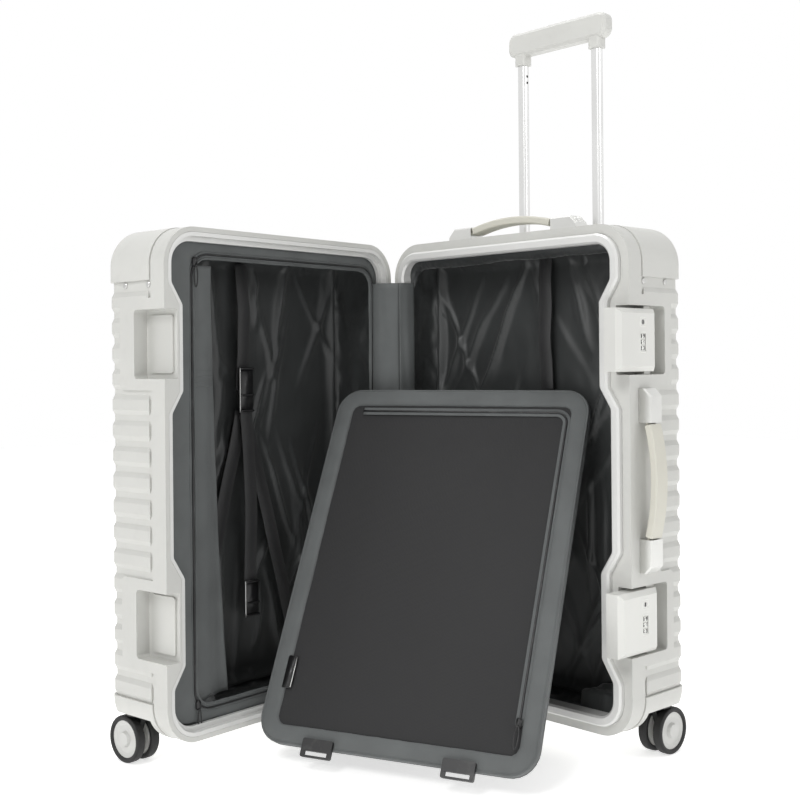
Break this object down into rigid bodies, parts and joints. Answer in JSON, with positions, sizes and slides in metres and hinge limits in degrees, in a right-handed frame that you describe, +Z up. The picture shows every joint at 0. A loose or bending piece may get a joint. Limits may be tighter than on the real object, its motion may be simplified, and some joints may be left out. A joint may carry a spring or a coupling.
{
  "type": "suitcase",
  "caption": "Hard-shell suitcase standing open like a book, with an aluminium rim, swing latches, a pull-out trolley handle, spinner casters and a loose mesh divider.",
  "frame": {"origin": "on the floor, under the middle of the object's bounding box", "axes": "+Z up; +X out of the back of the base half; -Y towards the latch side of the base half"},
  "size_m": [0.5636, 0.5778, 0.9755],
  "materials": {
    "shell": "fine-grained matte",
    "frame": "satin",
    "cream": "matte",
    "handle_metal": "satin",
    "latch": "satin",
    "catch_plate": "satin",
    "dial": "gloss",
    "key": "polished",
    "screws": "polished",
    "aluminium_tube": "satin",
    "grey_plastic": "matte",
    "lining": "woven",
    "border": "woven",
    "mesh": "open mesh",
    "webbing": "woven webbing",
    "buckle": "matte",
    "fork": "matte",
    "hub": "matte",
    "tyre": "rubber"
  },
  "bodies": {
    "base": {"base_shell": "shell", "base_frame": "frame", "base_lining": "lining", "base_top_guards": "shell", "base_wheel_housings": "shell", "base_guard_screws": "screws", "trolley_well": "grey_plastic", "trolley_guides": "aluminium_tube", "side_handle_ends": "handle_metal", "top_handle_ends": "handle_metal", "upper_latch_mount": "catch_plate", "lower_latch_mount": "catch_plate", "base_hinge_leaves": "frame", "base_strap": "webbing", "base_buckle": "buckle", "hinge_cover": "border"},
    "hinge_pins": {"hinge_pins": "screws"},
    "lid": {"lid_shell": "shell", "lid_frame": "frame", "lid_lining": "lining", "lid_border": "border", "lid_top_guards": "shell", "lid_wheel_housings": "shell", "lid_guard_screws": "screws", "lid_catches": "catch_plate", "lid_hinge_leaves": "frame", "lid_straps": "webbing", "lid_buckle": "buckle"},
    "trolley": {"trolley_tubes": "aluminium_tube", "trolley_grip": "cream"},
    "trolley_button": {"trolley_button": "cream"},
    "side_handle": {"side_handle_grip": "cream"},
    "top_handle": {"top_handle_grip": "cream"},
    "divider": {"divider_border": "border", "divider_mesh": "mesh", "divider_clips": "buckle", "divider_tab": "webbing", "divider_puller": "webbing"},
    "upper_latch": {"upper_latch_lever": "latch"},
    "upper_key": {"upper_latch_key": "key"},
    "upper_dial_1": {"upper_latch_dial_1": "dial"},
    "upper_dial_2": {"upper_latch_dial_2": "dial"},
    "upper_dial_3": {"upper_latch_dial_3": "dial"},
    "lower_latch": {"lower_latch_lever": "latch"},
    "lower_key": {"lower_latch_key": "key"},
    "lower_dial_1": {"lower_latch_dial_1": "dial"},
    "lower_dial_2": {"lower_latch_dial_2": "dial"},
    "lower_dial_3": {"lower_latch_dial_3": "dial"},
    "base_latch_caster": {"base_latch_caster_fork": "fork"},
    "base_latch_wheels": {"base_latch_caster_hubs": "hub", "base_latch_caster_tyres": "tyre"},
    "base_hinge_caster": {"base_hinge_caster_fork": "fork"},
    "base_hinge_wheels": {"base_hinge_caster_hubs": "hub", "base_hinge_caster_tyres": "tyre"},
    "lid_latch_caster": {"lid_latch_caster_fork": "fork"},
    "lid_latch_wheels": {"lid_latch_caster_hubs": "hub", "lid_latch_caster_tyres": "tyre"},
    "lid_hinge_caster": {"lid_hinge_caster_fork": "fork"},
    "lid_hinge_wheels": {"lid_hinge_caster_hubs": "hub", "lid_hinge_caster_tyres": "tyre"}
  },
  "joints": [
    {"name": "lid_flat", "type": "hinge", "parent": "base", "child": "hinge_pins", "pos_m": [0.15151, 0.16105, 0], "axis": [0, 0, -1], "range_deg": [0, 96.2], "deforming": ["hinge_cover"]},
    {"name": "lid_close", "type": "hinge", "parent": "hinge_pins", "child": "lid", "pos_m": [0.15151, 0.16105, 0], "axis": [0, 0, -1], "range_deg": [-83.8, 0], "deforming": ["hinge_cover"]},
    {"name": "divider_lift_out", "type": "slide", "parent": "base", "child": "divider", "axis": [-0.7793, -0.6266, 0], "range_m": [0, 1.85]},
    {"name": "trolley_slide", "type": "slide", "parent": "base", "child": "trolley", "axis": [0, 0, 1], "range_m": [-0.284, 0.13]},
    {"name": "button_press", "type": "slide", "parent": "trolley", "child": "trolley_button", "axis": [0, 0, -1], "range_m": [0, 0.003], "stiffness_N_per_m": 600, "springref_m": -0.002},
    {"name": "side_handle_pull", "type": "slide", "parent": "base", "child": "side_handle", "axis": [0, -1, 0], "range_m": [0, 0.005], "stiffness_N_per_m": 400},
    {"name": "top_handle_pull", "type": "slide", "parent": "base", "child": "top_handle", "axis": [0, 0, 1], "range_m": [0, 0.005], "stiffness_N_per_m": 400, "springref_m": -0.003},
    {"name": "upper_latch_swing", "type": "hinge", "parent": "base", "child": "upper_latch", "pos_m": [0.19481, -0.25395, 0.532], "axis": [0, 0, 1], "range_deg": [0, 70]},
    {"name": "upper_key_turn", "type": "hinge", "parent": "upper_latch", "child": "upper_key", "pos_m": [0.17181, -0.26895, 0.554], "axis": [0, -1, 0], "range_deg": [0, 90]},
    {"name": "upper_dial_1_turn", "type": "hinge", "parent": "upper_latch", "child": "upper_dial_1", "pos_m": [0.17181, -0.26265, 0.5216], "axis": [0, 0, 1], "continuous": true},
    {"name": "upper_dial_2_turn", "type": "hinge", "parent": "upper_latch", "child": "upper_dial_2", "pos_m": [0.17181, -0.26265, 0.529], "axis": [0, 0, 1], "continuous": true},
    {"name": "upper_dial_3_turn", "type": "hinge", "parent": "upper_latch", "child": "upper_dial_3", "pos_m": [0.17181, -0.26265, 0.5364], "axis": [0, 0, 1], "continuous": true},
    {"name": "lower_latch_swing", "type": "hinge", "parent": "base", "child": "lower_latch", "pos_m": [0.19481, -0.25395, 0.184], "axis": [0, 0, 1], "range_deg": [0, 70]},
    {"name": "lower_key_turn", "type": "hinge", "parent": "lower_latch", "child": "lower_key", "pos_m": [0.17181, -0.26895, 0.206], "axis": [0, -1, 0], "range_deg": [0, 90]},
    {"name": "lower_dial_1_turn", "type": "hinge", "parent": "lower_latch", "child": "lower_dial_1", "pos_m": [0.17181, -0.26265, 0.1736], "axis": [0, 0, 1], "continuous": true},
    {"name": "lower_dial_2_turn", "type": "hinge", "parent": "lower_latch", "child": "lower_dial_2", "pos_m": [0.17181, -0.26265, 0.181], "axis": [0, 0, 1], "continuous": true},
    {"name": "lower_dial_3_turn", "type": "hinge", "parent": "lower_latch", "child": "lower_dial_3", "pos_m": [0.17181, -0.26265, 0.1884], "axis": [0, 0, 1], "continuous": true},
    {"name": "base_latch_caster_swivel", "type": "hinge", "parent": "base", "child": "base_latch_caster", "pos_m": [0.23981, -0.23695, 0.06], "axis": [0, 0, 1], "continuous": true},
    {"name": "base_latch_wheels_roll", "type": "hinge", "parent": "base_latch_caster", "child": "base_latch_wheels", "pos_m": [0.25181, -0.23695, 0.03], "axis": [0, 1, 0], "continuous": true},
    {"name": "base_hinge_caster_swivel", "type": "hinge", "parent": "base", "child": "base_hinge_caster", "pos_m": [0.23981, 0.13105, 0.06], "axis": [0, 0, 1], "continuous": true},
    {"name": "base_hinge_wheels_roll", "type": "hinge", "parent": "base_hinge_caster", "child": "base_hinge_wheels", "pos_m": [0.25181, 0.13105, 0.03], "axis": [0, 1, 0], "continuous": true},
    {"name": "lid_latch_caster_swivel", "type": "hinge", "parent": "lid", "child": "lid_latch_caster", "pos_m": [-0.25369, 0.20585, 0.06], "axis": [0, 0, 1], "continuous": true},
    {"name": "lid_latch_wheels_roll", "type": "hinge", "parent": "lid_latch_caster", "child": "lid_latch_wheels", "pos_m": [-0.25499, 0.21778, 0.03], "axis": [0.9942, 0.108, 0], "continuous": true},
    {"name": "lid_hinge_caster_swivel", "type": "hinge", "parent": "lid", "child": "lid_hinge_caster", "pos_m": [0.11215, 0.2456, 0.06], "axis": [0, 0, 1], "continuous": true},
    {"name": "lid_hinge_wheels_roll", "type": "hinge", "parent": "lid_hinge_caster", "child": "lid_hinge_wheels", "pos_m": [0.11086, 0.25753, 0.03], "axis": [0.9942, 0.108, 0], "continuous": true}
  ],
  "couplings": [
    {"joint": "divider_lift_out", "follows": "lid_close", "m_per_rad": -1.2605}
  ]
}
